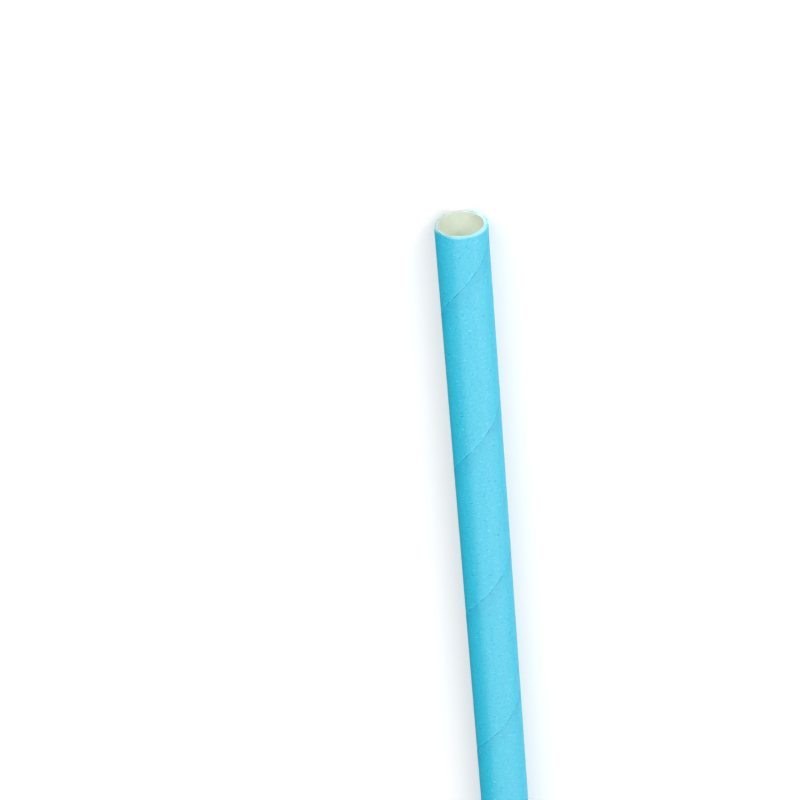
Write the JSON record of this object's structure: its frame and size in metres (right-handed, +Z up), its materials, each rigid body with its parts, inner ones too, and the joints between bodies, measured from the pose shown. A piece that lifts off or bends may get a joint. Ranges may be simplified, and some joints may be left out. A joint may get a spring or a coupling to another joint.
{
  "type": "paper drinking straw",
  "caption": "Straight spiral-wound paper drinking straw, pale blue outside and off-white inside, open at both square-cut ends, lying on its side.",
  "frame": {"origin": "on the surface that the straw lies on, straight below the middle of the straw", "axes": "+X along the straw towards the end that faces the viewer in the picture, +Z up, +Y to the left when looking along +X from the straw"},
  "size_m": [0.197, 0.006, 0.006],
  "materials": {
    "white_paper": "matt, uncoated, with fine fibres",
    "blue_paper": "matt, dyed pale sky blue, with fine fibres"
  },
  "bodies": {
    "root": {"white_plies": "white_paper", "coloured_ply": "blue_paper"}
  },
  "joints": []
}
